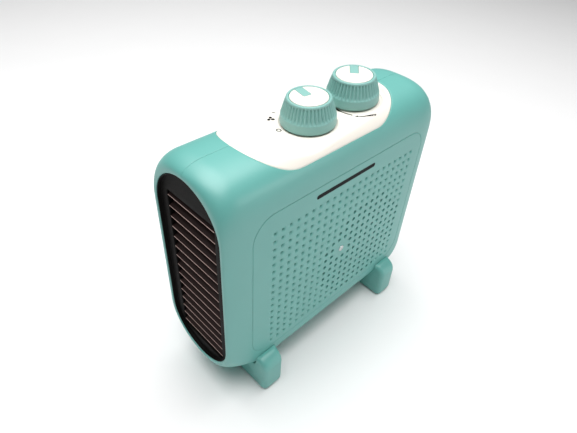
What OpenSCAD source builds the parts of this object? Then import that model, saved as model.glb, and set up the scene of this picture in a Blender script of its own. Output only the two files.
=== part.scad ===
// Upright fan convector heater: a clamshell body with a louvred outlet at the front (-Y), an air
// intake on each side, two control knobs on top and two cross feet. Millimetres, +Z up. The origin
// is on the ground, under the middle of the body.

/* [Body] */
// Length of the body from the outlet rim to the back
body_l = 262; // [254:1:268]
// Width of the body across its flat sides
body_w = 88; // [86:1:92]
// Height of the body's belly above the ground
belly_z = 31; // [29:1:33]
// Height of the crown of the body above the ground
crown_z = 252; // [248:1:254]
// Wall thickness of the two body halves
wall = 3; // [2.5:0.5:3]

/* [Outlet] */
// Width of the dark outlet insert
insert_w = 78.4; // [74:0.2:79]
// Number of louvres
louvre_count = 15; // [12:1:15]
// Distance from one louvre to the next
louvre_pitch = 10.86; // [10:0.02:10.9]
// Tilt of each louvre, front edge down
louvre_tilt = 22; // [10:1:30]

/* [Side grilles] */
// Distance from one grille hole to the next
hole_pitch = 8.5; // [8.5:0.1:8.7]
// Diameter of each grille hole
hole_d = 4.2; // [4:0.1:5.2]
// Radius of the round intake zone, where the holes go right through
intake_r = 59.5; // [50:0.5:62]

/* [Knobs] */
// Diameter of each knob at its base
knob_d = 47.4; // [44:0.2:48]
// Height of each knob
knob_h = 22.3; // [20:0.1:23]
// Distance of the switch knob in front of the body's middle
switch_y = -6.2; // [-8:0.1:-5]
// Distance of the thermostat knob behind the body's middle
thermostat_y = 49.3; // [47:0.1:50]
// Slope of the deck that carries the knobs, rising to the rear
deck_tilt = 3.4; // [0:0.1:4]

/* [Feet] */
// Width across both ends of a foot
foot_w = 115; // [108:0.2:116]
// Length of each foot along the body
foot_l = 24; // [20:1:25]

/* [Fan and heater] */
// Outer radius of the fan wheel
wheel_r = 50; // [46:1:51]
// Number of blades on the fan wheel
blade_count = 30; // [20:1:36]
// Number of heating coils
coil_count = 10; // [6:1:10]

/* [Hidden] */
$fn = 48;

half_l = body_l / 2;
half_w = body_w / 2;
teal = [0.44, 0.68, 0.64];
cream = [0.96, 0.95, 0.92];
dark = [0.16, 0.12, 0.12];
steel = [0.72, 0.72, 0.74];

// The body's cross-sections: a front end with a round top and bottom, a belly that squares off
// behind it, and rounded front and back edges.
slice_t = 0.5;
front_blend = 19;
belly_blend = 36;
rear_blend = 26;
station_ys = [for (t = [0, 0.04, 0.15, 0.45, 1]) -half_l + front_blend * t,
  -half_l + belly_blend,
  for (t = [1, 0.5, 0.2, 0.05, 0]) half_l - rear_blend * t];

// Side grille outline and its lattice of holes
grille_t = 2;
grille_gap = 0.3;
grille_ledge = 4;
grille_y = [-104, 114];
grille_z = [47, 213];
grille_r = 22;
hole_cols = 22;
hole_rows = 17;
first_hole = [-81.4, 55.5];
intake_c = [41.6, 102.25];
post_c = [7.85, 119.25];
post_r = 7;

// Outlet insert, its window and the louvres
insert_z = [40, 241.5];
insert_y = -half_l + 0.6;
insert_t = 6;
insert_rim = 2.4;
insert_dish = 3.4;
insert_gap = 0.2;
window_w = 58;
window_z = [52, 215];
louvre_y = -half_l + 4.6;
louvre_z0 = 56.7;
louvre_depth = 9;
louvre_t = 1.6;
tube_t = 2;
tube_l = 10;

// Control panel outline, its ramp and sloping deck, and the knobs
panel_hw = 38.4;
panel_front = -87.7;
panel_front_l = 42;
panel_front_power = 2.55;
panel_rear = 83.3;
panel_rear_l = 43.3;
panel_gap = 0.2;
panel_inset = 0.6;
ramp_y = -36;
deck_z = 242.6;
deck_t = 3;
knob_lift = 0.5;
knob_top_r = 18.6;
cap_r = 15.8;
cap_t = 1.2;
pointer_w = 6.5;
pointer_in = 1.5;
switch_angle = 171;
thermostat_angle = 131;
spindle_r = 3;
spindle_low = -16;
run_clear = 0.05;

// Screws that hold the two halves together, as [y, z]
shell_screw_at = [[-104, 233], [-108, 44], [106, 222], [117, 48], [-55, 224], [-25, 39.5]];
boss_r = 4;
shell_screw_r = 1.5;
pocket_r = 3.6;
screw_head_h = 2;

// Feet and their screws
foot_ys = [-88, 93.5];
foot_screw_x = 22;
foot_post_h = 14;
foot_head_z = 16;
foot_arch = 2;

// Fan, scroll and motor, all round the line through [y, z] along X
fan_c = intake_c;
scroll_t = 1.6;
scroll_x = [-18, 30];
scroll_r0 = 54;
scroll_growth = 24;
duct_top = 218;
duct_bottom = 54;
inlet_r = 44;
wheel_x = [-14, 25.5];
wheel_in_r = 40;
shaft_r = 2;
rotor_r = 11.8;
stator_x = [-36, -24];
bracket_t = 2.5;
motor_screw_dy = 24;

// Heater pack behind the louvres
pack_y = [-half_l + 18, -half_l + 34];
duct_end = pack_y[1] + 1;
pack_hw = 33;
pack_z = [50, 220];
pack_t = 1.5;
coil_r = 3.4;
card_xs = [-21, 0, 21];

// Cable gland in the back wall
gland_z = 64;
gland_bore_r = 3.8;

// Quarter-round rise from 0 at t = 0 to 1 at t = 1
function ease(t) = t >= 1 ? 1 : sqrt(1 - pow(1 - t, 2));
function front_t(y) = (y + half_l) / front_blend;
function rear_t(y) = (half_l - y) / rear_blend;
function belly_t(y) = min(1, (y + half_l) / belly_blend);
function section_hw(y) = half_w - 2.5 * (1 - ease(front_t(y))) - 6 * (1 - ease(rear_t(y)));
function section_top(y) = crown_z - 9 * (1 - ease(front_t(y))) - 18 * (1 - ease(rear_t(y)));
function section_low(y) = belly_z + 5 * (1 - ease(front_t(y))) + 15 * (1 - ease(rear_t(y)));
function section_corner(y) = 7 + 34 * (1 - belly_t(y)) + 12 * (1 - ease(rear_t(y)));
function section_power(y) = 2.8 - 0.7 * (1 - ease(front_t(y)));

function arc(c, r, a0, a1, n) = [for (i = [0:n]) let (a = a0 + (a1 - a0) * i / n)
  [c[0] + r * cos(a), c[1] + r * sin(a)]];
// Half of a dome outline: a circle at power 2, and squarer the higher the power
function dome(w, top, n, power) = [for (i = [0:n]) let (a = 90 * i / n)
  [w * pow(cos(a), 2 / power), top - w + w * pow(sin(a), 2 / power)]];
function mirrored(points) = [for (i = [len(points) - 1:-1:0]) [-points[i][0], points[i][1]]];
function section(y, inset) =
  let (w = section_hw(y) - inset,
    low = section_low(y) + inset,
    r = max(1, section_corner(y) - inset),
    side = concat(arc([w - r, low + r], r, -90, 0, 6), dome(w, section_top(y) - inset, 7, section_power(y))))
  concat(side, mirrored(side));
function rounded_rect(a, b, r) = concat(
  arc([a[1] - r, b[0] + r], r, -90, 0, 8), arc([a[1] - r, b[1] - r], r, 0, 90, 8),
  arc([a[0] + r, b[1] - r], r, 90, 180, 8), arc([a[0] + r, b[0] + r], r, 180, 270, 8));
// A superellipse arc round the middle line at y, from angle a0 to a1
function oval(a, b, y, power, a0, a1) = [for (i = [0:20]) let (t = a0 + (a1 - a0) * i / 20)
  [a * sign(cos(t)) * pow(abs(cos(t)), 2 / power), y + b * sign(sin(t)) * pow(abs(sin(t)), 2 / power)]];
function panel_outline(grow) = concat(
  oval(panel_hw + grow, panel_front_l + grow, panel_front + panel_front_l, panel_front_power, 180, 360),
  oval(panel_hw + grow, panel_rear_l + grow, panel_rear - panel_rear_l, 2, 0, 180));
// Height of the deck's flat at y
function deck_at(y) = deck_z + tan(deck_tilt) * (y - switch_y);
function hole_at(i, j) = [first_hole[0] + hole_pitch * i, first_hole[1] + hole_pitch * j];
function is_open(p) = norm(p - intake_c) < intake_r && norm(p - post_c) > post_r;
// Radius of the scroll's inner wall at an angle, from the cut-off at -135 to the top at 90 degrees
function scroll_r(a) = scroll_r0 + scroll_growth * (a + 135) / 225;
function scroll_path(grow, reach) = concat(
  [for (i = [0:25]) let (a = -135 + 9 * i) fan_c + (scroll_r(a) + grow) * [cos(a), sin(a)]],
  [[duct_end - reach, duct_top + grow], [duct_end - reach, duct_bottom - grow]]);

// Places a shape drawn in the Y-Z plane and gives it a thickness along X
module along_x(x0, h) {
  translate([x0, 0, 0]) rotate([90, 0, 90]) linear_extrude(h) children();
}
// Places a shape drawn in the X-Z plane and gives it a thickness along Y, from y0 backwards
module along_y(y0, h) {
  translate([0, y0 + h, 0]) rotate([90, 0, 0]) linear_extrude(h) children();
}
module rod_x(x0, x1, r, p) {
  translate([x0, p[0], p[1]]) rotate([0, 90, 0]) cylinder(h = x1 - x0, r = r);
}
module bar(x, y, z) {
  translate([x[0], y[0], z[0]]) cube([x[1] - x[0], y[1] - y[0], z[1] - z[0]]);
}

module body_form(inset) {
  hull() for (y = station_ys)
    along_y(y * (half_l - inset) / half_l - (y > 0 ? slice_t : 0), slice_t) polygon(section(y, inset));
}
module stadium(w, z) {
  polygon(concat(arc([0, z[1] - w], w, 0, 180, 24), arc([0, z[0] + w], w, 180, 360, 24)));
}
module shell_bosses() {
  for (p = shell_screw_at) rod_x(-half_w, half_w, boss_r, p);
  for (y = foot_ys, x = [-foot_screw_x, foot_screw_x])
    translate([x, y, belly_z]) cylinder(h = foot_post_h, r = boss_r);
  translate([0, half_l - 1, gland_z]) rotate([90, 0, 0]) cylinder(h = 9, r = 12);
}
module shell_cuts() {
  along_y(-half_l - 1, 12) stadium(insert_w / 2, insert_z);
  translate([0, 0, 205]) linear_extrude(60) polygon(panel_outline(panel_gap));
  for (s = [-1, 1]) {
    along_x(s > 0 ? half_w - grille_t : -half_w - 3, grille_t + 3)
      polygon(rounded_rect(grille_y + [-grille_gap, grille_gap], grille_z + [-grille_gap, grille_gap],
        grille_r + grille_gap));
    along_x(s > 0 ? half_w - 8 : -half_w - 2, 10)
      polygon(rounded_rect(grille_y + [grille_ledge, -grille_ledge],
        grille_z + [grille_ledge, -grille_ledge], grille_r - grille_ledge));
  }
  for (p = shell_screw_at) {
    rod_x(-half_w - 1, 24, shell_screw_r, p);
    rod_x(-half_w - 1, -16, pocket_r, p);
  }
  for (y = foot_ys, x = [-foot_screw_x, foot_screw_x])
    translate([x, y, belly_z - 1]) cylinder(h = foot_post_h - 1, r = shell_screw_r);
  translate([0, half_l + 1, gland_z]) rotate([90, 0, 0]) {
    cylinder(h = 14, r = 6.6);
    cylinder(h = 3.5, r = 9.2);
  }
}
module shell() {
  difference() {
    body_form(0);
    difference() {
      body_form(wall);
      shell_bosses();
    }
    shell_cuts();
  }
}

module shell_right() color(teal) {
  intersection() {
    shell();
    bar([0, half_w + 1], [-half_l - 1, half_l + 1], [0, crown_z + 5]);
  }
}
module shell_left() color(teal) {
  intersection() {
    shell();
    bar([-half_w - 1, 0], [-half_l - 1, half_l + 1], [0, crown_z + 5]);
  }
}
module shell_screws() color(steel) {
  for (p = shell_screw_at) {
    rod_x(-17, 20, shell_screw_r, p);
    rod_x(-16 - screw_head_h, -16, 2.8, p);
  }
}

module grille() {
  along_x(half_w - grille_t, grille_t) difference() {
    polygon(rounded_rect(grille_y, grille_z, grille_r));
    for (i = [0:hole_cols - 1], j = [0:hole_rows - 1])
      if (is_open(hole_at(i, j))) translate(hole_at(i, j)) circle(d = hole_d, $fn = 24);
    translate(post_c) circle(r = 1.6, $fn = 24);
  }
}
module side_grille_right() color(teal) {
  grille();
}
module side_grille_left() color(teal) {
  mirror([1, 0, 0]) grille();
}
module grille_screws() color(steel) {
  for (s = [0, 1]) mirror([s, 0, 0]) {
    rod_x(half_w, half_w + 0.8, 3, post_c);
    rod_x(half_w - 8, half_w, 1.5, post_c);
  }
}

module outlet_frame() color(dark) {
  difference() {
    union() {
      along_y(insert_y, insert_t) stadium(insert_w / 2 - insert_gap, insert_z + [insert_gap, -insert_gap]);
      bar([-window_w / 2 - tube_t, window_w / 2 + tube_t], [insert_y + insert_t, insert_y + insert_t + tube_l],
        window_z + [-tube_t, tube_t]);
    }
    along_y(insert_y - 1, insert_dish + 1)
      stadium(insert_w / 2 - insert_rim, insert_z + [insert_rim, -insert_rim]);
    bar([-window_w / 2, window_w / 2], [insert_y - 1, insert_y + insert_t + tube_l + 1], window_z);
  }
}
module outlet_louvres() color([0.3, 0.17, 0.14]) {
  for (i = [0:louvre_count - 1])
    translate([-window_w / 2, louvre_y, louvre_z0 + louvre_pitch * i])
      rotate([louvre_tilt, 0, 0]) cube([window_w, louvre_depth, louvre_t]);
}

// Places a shape on the sloping deck at y, square to it
module on_deck(y) {
  translate([0, y, deck_at(y)]) rotate([deck_tilt, 0, 0]) children();
}
module deck_profile() {
  polygon([[panel_front, crown_z - deck_t], [ramp_y, deck_at(ramp_y) - deck_t],
    [panel_rear + 1, deck_at(panel_rear + 1) - deck_t], [panel_rear + 1, deck_at(panel_rear + 1)],
    [ramp_y, deck_at(ramp_y)], [panel_front, crown_z]]);
}
module control_panel() color(cream) {
  difference() {
    intersection() {
      translate([0, 0, 205]) linear_extrude(60) polygon(panel_outline(0));
      body_form(panel_inset);
      union() {
        difference() {
          bar([-half_w, half_w], [-half_l, half_l], [205, crown_z + 5]);
          body_form(panel_inset + deck_t);
        }
        along_x(-half_w, body_w) deck_profile();
      }
    }
    along_x(-half_w, body_w)
      polygon([[panel_front, crown_z], [ramp_y, deck_at(ramp_y)], [half_l, deck_at(half_l)],
        [half_l, crown_z + 9], [panel_front, crown_z + 9]]);
    for (y = [switch_y, thermostat_y]) on_deck(y) translate([0, 0, -9]) cylinder(h = 20, r = 4);
  }
}

// Teal body of a knob, with a hub for its spindle, a recess for its cap and a raised pointer bar
module knob(y, angle) {
  on_deck(y) translate([0, 0, knob_lift]) rotate([0, 0, angle]) {
    rotate_extrude() polygon([[spindle_r, 3], [6, 3], [6, knob_h - 5], [knob_top_r - 4, knob_h - 5],
      [knob_d / 2 - 3, 0], [knob_d / 2, 0], [knob_d / 2 - 0.5, 8], [knob_top_r + 0.4, knob_h - 2],
      [knob_top_r - 0.8, knob_h], [cap_r, knob_h], [cap_r, knob_h - cap_t], [spindle_r, knob_h - cap_t]]);
    translate([pointer_in, -pointer_w / 2, knob_h - cap_t]) cube([cap_r - pointer_in, pointer_w, cap_t]);
    translate([0, 0, knob_h - 5]) cylinder(h = 5 - cap_t, r = spindle_r);
  }
}
module knob_cap(y, angle) {
  on_deck(y) translate([0, 0, knob_lift + knob_h - cap_t]) rotate([0, 0, angle]) difference() {
    cylinder(h = cap_t - 0.1, r = cap_r);
    translate([pointer_in - 0.1, -pointer_w / 2 - 0.1, -1]) cube([20, pointer_w + 0.2, 4]);
  }
}
module spindle(y) {
  on_deck(y) translate([0, 0, spindle_low]) cylinder(h = knob_lift + knob_h - 5 - spindle_low, r = spindle_r);
}
module switch_knob() color(teal) knob(switch_y, switch_angle);
module switch_knob_cap() color(cream) knob_cap(switch_y, switch_angle);
module switch_spindle() color(steel) spindle(switch_y);
module thermostat_knob() color(teal) knob(thermostat_y, thermostat_angle);
module thermostat_knob_cap() color(cream) knob_cap(thermostat_y, thermostat_angle);
module thermostat_spindle() color(steel) spindle(thermostat_y);

// Housing of a control below the deck, with a bushing that guides its spindle
deck_under = -deck_t * cos(deck_tilt);
module control_body(y, size, h) {
  on_deck(y) difference() {
    union() {
      translate([-size[0] / 2, -size[1] / 2, deck_under - h - 1]) cube([size[0], size[1], h]);
      translate([0, 0, deck_under - 2]) cylinder(h = 2, r = 6);
    }
    translate([0, 0, spindle_low - run_clear]) cylinder(h = 40, r = spindle_r + run_clear);
  }
}
module rotary_switch() color([0.2, 0.2, 0.22]) control_body(switch_y, [28, 28], 20);
module thermostat() color([0.85, 0.8, 0.7]) control_body(thermostat_y, [24, 34], 18);

function foot_outline() = let (side = concat([[14, foot_arch], [18, 0]],
  arc([foot_w / 2 - 5, 5], 5, -90, 0, 6), arc([foot_w / 2 - 13, 31], 13, 0, 80, 6)))
  concat(side, mirrored(side));
module foot(y) {
  difference() {
    along_y(y - foot_l / 2, foot_l) polygon(foot_outline());
    along_y(y - foot_l, foot_l * 2) polygon(section(0, -0.2));
    for (x = [-foot_screw_x, foot_screw_x]) translate([x, y, -1]) {
      cylinder(h = belly_z + 2, r = shell_screw_r + 0.3);
      cylinder(h = foot_head_z + 1, r = pocket_r);
    }
  }
}
module foot_front() color(teal) foot(foot_ys[0]);
module foot_rear() color(teal) foot(foot_ys[1]);
module foot_screws() color(steel) {
  for (y = foot_ys, x = [-foot_screw_x, foot_screw_x]) translate([x, y, foot_head_z - screw_head_h]) {
    cylinder(h = screw_head_h, r = 2.8);
    cylinder(h = 26, r = shell_screw_r);
  }
}

module heater_frame() color([0.75, 0.75, 0.72]) {
  difference() {
    bar([-pack_hw, pack_hw], pack_y, pack_z);
    bar([-pack_hw + pack_t, pack_hw - pack_t], pack_y + [-1, 1], pack_z + [pack_t, -pack_t]);
  }
}
coil_zs = [for (i = [0:coil_count - 1]) pack_z[0] + (pack_z[1] - pack_z[0]) * (i + 0.5) / coil_count];
module mica_cards() color([0.8, 0.72, 0.55]) {
  for (x = card_xs) difference() {
    bar([x - 0.5, x + 0.5], pack_y + [2, -2], pack_z + [pack_t, -pack_t]);
    for (z = coil_zs) rod_x(x - 1, x + 1, coil_r + 0.1, [(pack_y[0] + pack_y[1]) / 2, z]);
  }
}
module heating_coils() color([0.6, 0.5, 0.45]) {
  for (z = coil_zs) rod_x(-pack_hw + pack_t, pack_hw - pack_t, coil_r, [(pack_y[0] + pack_y[1]) / 2, z]);
}
module thermal_cutout() color(steel) {
  translate([0, -105, pack_z[1]]) {
    cylinder(h = 4, r = 8);
    cylinder(h = 6, r = 5);
  }
}

module scroll_housing() color([0.82, 0.82, 0.8]) {
  difference() {
    union() {
      along_x(scroll_x[0], scroll_x[1] - scroll_x[0]) polygon(scroll_path(scroll_t, 0));
      for (s = [-1, 1]) rod_x(stator_x[1] + bracket_t, scroll_x[0] + 1, 4, fan_c + [s * motor_screw_dy, 0]);
    }
    along_x(scroll_x[0] + scroll_t, 100) polygon(scroll_path(0, 1));
    rod_x(scroll_x[0] - 1, scroll_x[0] + 3, 14, fan_c);
    for (s = [-1, 1]) rod_x(-40, scroll_x[0] + 3, 1.8, fan_c + [s * motor_screw_dy, 0]);
  }
}
module scroll_cover() color([0.82, 0.82, 0.8]) {
  difference() {
    union() {
      along_x(scroll_x[1], scroll_t) polygon(scroll_path(scroll_t, 0));
      rod_x(scroll_x[1], scroll_x[1] + 7, inlet_r + 2, fan_c);
    }
    rod_x(scroll_x[1] - 1, scroll_x[1] + 8, inlet_r, fan_c);
  }
}
module blade() {
  polygon(concat(arc([wheel_in_r + 3, -4], 7, 20, 110, 5), [for (i = [5:-1:0])
    [wheel_in_r + 3 + 6 * cos(20 + 18 * i), -4 + 6 * sin(20 + 18 * i)]]));
}
module fan_wheel() color([0.9, 0.9, 0.88]) {
  difference() {
    union() {
      rod_x(wheel_x[0], wheel_x[0] + 1.5, wheel_r, fan_c);
      rod_x(wheel_x[0], 2, 8, fan_c);
      translate([0, fan_c[0], fan_c[1]]) for (i = [0:blade_count - 1])
        rotate([i * 360 / blade_count, 0, 0]) along_x(wheel_x[0] + 1, wheel_x[1] - wheel_x[0] - 1) blade();
      difference() {
        rod_x(wheel_x[1] - 1.5, wheel_x[1], wheel_r, fan_c);
        rod_x(wheel_x[1] - 3, wheel_x[1] + 1, wheel_in_r + 3, fan_c);
      }
    }
    rod_x(wheel_x[0] - 1, 0, shaft_r, fan_c);
  }
}
module motor_shaft() color(steel) rod_x(stator_x[0] - 4, 0, shaft_r, fan_c);
module motor_rotor() color([0.6, 0.6, 0.62]) {
  difference() {
    rod_x(stator_x[0] + 0.5, stator_x[1] - 0.5, rotor_r, fan_c);
    rod_x(stator_x[0] - 1, stator_x[1] + 1, shaft_r, fan_c);
  }
}
function around(v, low, high) = [v + low, v + high];
stator_y = around(fan_c[0], -29, 29);
stator_z = around(fan_c[1], -36, 22);
limb_z = around(stator_z[0], 0, 7);
module motor_stator() color([0.45, 0.45, 0.48]) {
  difference() {
    bar(stator_x, stator_y, stator_z);
    bar(stator_x + [-1, 1], stator_y + [10, -10], [limb_z[1], limb_z[1] + 11]);
    rod_x(stator_x[0] - 1, stator_x[1] + 1, rotor_r + 0.5, fan_c);
    for (s = [-1, 1]) rod_x(stator_x[0] - 1, stator_x[1] + 1, 1.8, fan_c + [s * motor_screw_dy, 0]);
  }
}
module motor_winding() color([0.72, 0.4, 0.2]) {
  difference() {
    bar(stator_x + [-3, 3], stator_y + [11, -11], limb_z + [-6, 10]);
    bar(stator_x, stator_y, limb_z);
  }
}
module motor_brackets() color(steel) {
  for (x = [stator_x[0] - bracket_t, stator_x[1]]) difference() {
    bar([x, x + bracket_t], stator_y, around(fan_c[1], -9, 9));
    rod_x(x - 1, x + bracket_t + 1, 4, fan_c);
    for (s = [-1, 1]) rod_x(x - 1, x + bracket_t + 1, 1.8, fan_c + [s * motor_screw_dy, 0]);
  }
}
module motor_bearings() color([0.75, 0.6, 0.35]) {
  for (x = [stator_x[0] - bracket_t, stator_x[1]]) difference() {
    rod_x(x, x + bracket_t, 4, fan_c);
    rod_x(x - 1, x + bracket_t + 1, shaft_r + run_clear, fan_c);
  }
}
module motor_screws() color(steel) {
  for (s = [-1, 1]) {
    rod_x(stator_x[0] - bracket_t, scroll_x[0] + scroll_t, 1.7, fan_c + [s * motor_screw_dy, 0]);
    rod_x(stator_x[0] - bracket_t - 1.8, stator_x[0] - bracket_t, 3, fan_c + [s * motor_screw_dy, 0]);
  }
}
module terminal_block() color([0.9, 0.88, 0.8]) {
  difference() {
    bar([-18, 18], [88, 102], [194, 208]);
    for (x = [-12, 0, 12]) translate([x, 0, 201]) rotate([-90, 0, 0]) cylinder(h = 200, r = 2.5);
  }
}
module cable_gland() color([0.12, 0.12, 0.13]) {
  translate([0, half_l, gland_z]) rotate([90, 0, 0]) rotate_extrude()
    polygon([[gland_bore_r, 0], [9, 0], [9, 2.4], [6.4, 2.4], [6.4, 10.2], [8, 10.2], [8, 13], [gland_bore_r, 13]]);
}

shell_right();
shell_left();
shell_screws();
side_grille_right();
side_grille_left();
grille_screws();
outlet_frame();
outlet_louvres();
control_panel();
rotary_switch();
switch_spindle();
switch_knob();
switch_knob_cap();
thermostat();
thermostat_spindle();
thermostat_knob();
thermostat_knob_cap();
foot_front();
foot_rear();
foot_screws();
heater_frame();
mica_cards();
heating_coils();
thermal_cutout();
scroll_housing();
scroll_cover();
fan_wheel();
motor_shaft();
motor_rotor();
motor_stator();
motor_winding();
motor_brackets();
motor_bearings();
motor_screws();
terminal_block();
cable_gland();
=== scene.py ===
"""Looks of an upright fan convector heater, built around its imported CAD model.

Lengths are in millimetres until a mesh is made. +Z is up, the outlet faces -Y, the origin is on the ground.
"""

import math

import bmesh
import bpy
import numpy as np
from mathutils import Matrix, Vector
from mathutils.geometry import delaunay_2d_cdt


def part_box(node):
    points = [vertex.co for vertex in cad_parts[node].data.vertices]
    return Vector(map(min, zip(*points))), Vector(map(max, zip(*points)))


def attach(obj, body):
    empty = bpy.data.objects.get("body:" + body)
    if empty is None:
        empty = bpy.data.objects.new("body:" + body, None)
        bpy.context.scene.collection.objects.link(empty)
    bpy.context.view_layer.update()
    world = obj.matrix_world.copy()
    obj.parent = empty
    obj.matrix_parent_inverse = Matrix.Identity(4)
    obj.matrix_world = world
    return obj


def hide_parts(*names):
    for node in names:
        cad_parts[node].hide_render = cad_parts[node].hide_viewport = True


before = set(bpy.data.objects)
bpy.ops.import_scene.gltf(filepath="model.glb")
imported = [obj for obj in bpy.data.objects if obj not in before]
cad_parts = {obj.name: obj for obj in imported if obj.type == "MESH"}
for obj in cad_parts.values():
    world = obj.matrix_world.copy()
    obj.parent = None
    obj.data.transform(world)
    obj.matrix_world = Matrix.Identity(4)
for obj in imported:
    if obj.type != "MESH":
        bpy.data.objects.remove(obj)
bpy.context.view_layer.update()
scene = bpy.context.scene


def box_mm(node):
    """The lowest and highest corner of a CAD node, in mm."""
    return [[float(c) * 1000 for c in corner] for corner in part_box(node)]


# ---- body surface

HALF_W = 44.0
HALF_L = 131.0
BELLY = box_mm("shell_right")[0][2]
CROWN = 252.0
WALL = 3.0
FRONT_BLEND = 19.0
REAR_BLEND = 26.0
BELLY_BLEND = 36.0
BELLY_R = 7.0
DOME_POWER = 2.8
SEAM_R = 0.4
# How far the half width, the top and the underside come in at the front end and at the rear end
FRONT_IN = (2.5, 9.0, 6.5)
REAR_IN = (6.0, 18.0, 15.0)
# How much the bottom corner's radius grows to the front end and to the rear end
CORNER_GROW = (34.0, 12.0)
# How much the dome's power drops to the front end
POWER_DROP = 0.7

# Reference lengths of the four stretches of half a cross-section: bottom, corner, side, dome
BOTTOM_S = 37.0
CORNER_S = 11.0
SIDE_S = 170.0
_a = np.linspace(0, math.pi / 2, 721)
_dome = np.c_[np.cos(_a) ** (2 / DOME_POWER), np.sin(_a) ** (2 / DOME_POWER)]
_dome_len = np.r_[0, np.cumsum(np.linalg.norm(np.diff(_dome, axis=0), axis=1))]
DOME_S = float(_dome_len[-1]) * HALF_W
S1 = BOTTOM_S
S2 = S1 + CORNER_S
S3 = S2 + SIDE_S
S4 = S3 + DOME_S
U_FRONT = -HALF_L + FRONT_BLEND
U_REAR = HALF_L - REAR_BLEND
U0 = U_FRONT - FRONT_BLEND * math.pi / 2
U1 = U_REAR + REAR_BLEND * math.pi / 2


def station(u):
    """y, and how far the front and rear rounding have come in (0 to 1), at a length coordinate u."""
    u = np.asarray(u, float)
    front = np.clip((U_FRONT - u) / FRONT_BLEND, 0, math.pi / 2)
    rear = np.clip((u - U_REAR) / REAR_BLEND, 0, math.pi / 2)
    y = np.clip(u, U_FRONT, U_REAR) - FRONT_BLEND * np.sin(front) + REAR_BLEND * np.sin(rear)
    return y, 1 - np.cos(front), 1 - np.cos(rear)


def u_of(y):
    """Length coordinate of the cross-section whose plane is at y."""
    y = np.asarray(y, float)
    front = np.arcsin(np.clip((U_FRONT - y) / FRONT_BLEND, 0, 1))
    rear = np.arcsin(np.clip((y - U_REAR) / REAR_BLEND, 0, 1))
    return np.clip(y, U_FRONT, U_REAR) - FRONT_BLEND * front + REAR_BLEND * rear


def section(u):
    """y, half width, top, low, bottom corner radius and dome power of the cross-section at u."""
    y, front, rear = station(u)
    belly = np.minimum(1, (y + HALF_L) / BELLY_BLEND)
    w = HALF_W - FRONT_IN[0] * front - REAR_IN[0] * rear
    top = CROWN - FRONT_IN[1] * front - REAR_IN[1] * rear
    low = BELLY + FRONT_IN[2] * front + REAR_IN[2] * rear
    r = BELLY_R + CORNER_GROW[0] * (1 - belly) + CORNER_GROW[1] * rear
    return y, w, top, low, r, DOME_POWER - POWER_DROP * front


def dome_z(x, w, top, power=DOME_POWER):
    return top - w + w * (1 - np.clip(np.abs(x) / w, 0, 1) ** power) ** (1 / power)


def body_point(u, s, inner=False):
    """Point of the right half's outer or inner skin at the coordinates (u, s)."""
    u, s = np.broadcast_arrays(np.asarray(u, float), np.asarray(s, float))
    y, w, top, low, r, power = section(u)
    cut = WALL if inner else 0.0
    t = np.clip(s / S1, 0, 1)
    x = (w - r) * t
    z = low + cut
    phi = -math.pi / 2 * (1 - np.clip((s - S1) / CORNER_S, 0, 1))
    rr = r - cut
    corner = s > S1
    x = np.where(corner, w - r + rr * np.cos(phi), x)
    z = np.where(corner, low + r + rr * np.sin(phi), z)
    side = s > S2
    f = np.clip((s - S2) / SIDE_S, 0, 1)
    x = np.where(side, w - cut, x)
    z = np.where(side, low + r + (top - w - low - r) * f, z)
    crown = s > S3
    a = np.interp(np.clip((s - S3) / HALF_W, 0, None), _dome_len, _a)
    xo = w * np.clip(np.cos(a), 0, 1) ** (2 / power)
    if inner:
        knee = 0.857 * w
        xi = np.where(xo > knee, knee + (xo - knee) * (w - cut - knee) / (w - knee), xo)
        zi = dome_z(xi, w - cut, top - cut, power)
        x, z = np.where(crown, xi, x), np.where(crown, zi, z)
        y = y + WALL * np.clip((U_FRONT - y) / FRONT_BLEND, 0, 1) - WALL * np.clip((y - U_REAR) / REAR_BLEND, 0, 1)
    else:
        zo = top - w + w * np.sin(a) ** (2 / power)
        x, z = np.where(crown, xo, x), np.where(crown, zo, z)
    x = np.where(s >= S4 - 1e-9, 0.0, x)
    return np.stack([x, y, z], -1)


def body_normal(u, s):
    """Outward unit normal at (u, s), from small steps."""
    e = 0.02
    du = body_point(u + e, s) - body_point(u - e, s)
    ds = body_point(u, np.minimum(s + e, S4)) - body_point(u, np.maximum(s - e, 0))
    n = np.cross(du, ds)
    return n / np.linalg.norm(n, axis=-1, keepdims=True)


def side_coords(y, z):
    """(u, s) of the side wall point at (y, z)."""
    u = u_of(y)
    _, w, top, low, r, power = section(u)
    s = S2 + SIDE_S * (z - low - r) / (top - w - low - r)
    q = np.clip((z - (top - w)) / w, 0, 1)
    a = np.arcsin(np.clip(q ** (power / 2), 0, 1))
    return u, np.where(z > top - w, S3 + HALF_W * np.interp(a, _a, _dome_len), s)


def top_coords(x, y):
    """(u, s) of the crown point above (x, y)."""
    u = u_of(y)
    _, w, _, _, _, power = section(u)
    a = np.arccos(np.clip(np.abs(x) / w, 0, 1) ** (power / 2))
    return u, S3 + HALF_W * np.interp(a, _a, _dome_len)


def side_x(y, z):
    """x of the body's right side at (y, z)."""
    u, s = side_coords(y, z)
    return body_point(u, s)[..., 0]


# ---- outlines


def unit(v):
    """Rows of v scaled to a length of 1."""
    return v / np.linalg.norm(v, axis=1)[:, None]


def arc(cx, cy, r, a0, a1, n):
    """Points of an arc between two angles in degrees."""
    a = np.radians(np.linspace(a0, a1, n + 1))
    return np.c_[cx + r * np.cos(a), cy + r * np.sin(a)]


def circle(cx, cy, r, n):
    return arc(cx, cy, r, 0, 360 - 360 / n, n - 1)


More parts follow.
